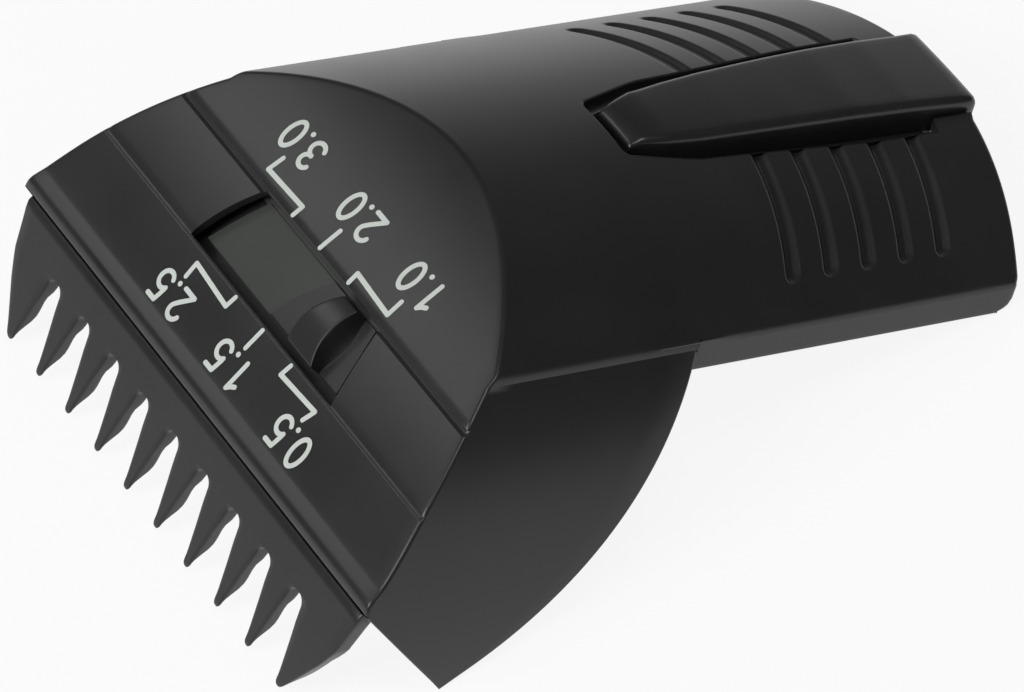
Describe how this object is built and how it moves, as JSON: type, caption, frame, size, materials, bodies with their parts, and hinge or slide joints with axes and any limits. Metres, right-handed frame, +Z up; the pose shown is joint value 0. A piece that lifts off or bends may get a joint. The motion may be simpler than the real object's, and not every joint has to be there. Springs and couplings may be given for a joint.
{
  "type": "adjustable hair clipper comb attachment",
  "caption": "Saddle-shaped comb attachment for a hair trimmer: a toothed comb under a slanted scale face with a thumb slider, and a sleeve with a release lever.",
  "frame": {"origin": "bottom centre of the bounding box, on the surface the part rests on", "axes": "+Y runs from the comb to the rear of the sleeve, +Z is up from the resting surface, +X is across the comb"},
  "size_m": [0.0416, 0.0553, 0.0168],
  "materials": {
    "shell": "satin black moulded plastic",
    "inner_plastic": "plain black moulding",
    "steel": "plain steel",
    "pads": "soft matt strip",
    "shutter": "fine matt black",
    "button": "fine matt black",
    "comb": "satin black moulded plastic",
    "lever": "satin black moulded plastic"
  },
  "bodies": {
    "housing": {"housing_shell": "shell", "slider_retainer": "inner_plastic", "retainer_screws": "steel", "fit_pads": "pads", "lever_pin": "steel"},
    "slider": {"slider_plate": "shutter", "thumb_button": "button", "cam_pin": "steel", "detent_spring": "steel"},
    "comb_unit": {"comb": "comb", "comb_carriage": "inner_plastic", "comb_screws": "steel"},
    "lever": {"release_lever": "lever"}
  },
  "joints": [
    {"name": "slider_shift", "type": "slide", "parent": "housing", "child": "slider", "axis": [-1, 0, 0], "range_m": [0, 0.00785], "deforming": ["detent_spring"]},
    {"name": "comb_shift", "type": "slide", "parent": "housing", "child": "comb_unit", "axis": [0, -0.9353, 0.3538], "range_m": [0, 0.0025]},
    {"name": "lever_hinge", "type": "hinge", "parent": "housing", "child": "lever", "pos_m": [0, 0.02469, 0.00435], "axis": [-1, 0, 0], "range_deg": [0, 5], "stiffness_Nm_per_rad": 0.005, "springref_deg": -1.15}
  ],
  "couplings": [
    {"joint": "comb_shift", "follows": "slider_shift", "ratio": 0.3184}
  ]
}
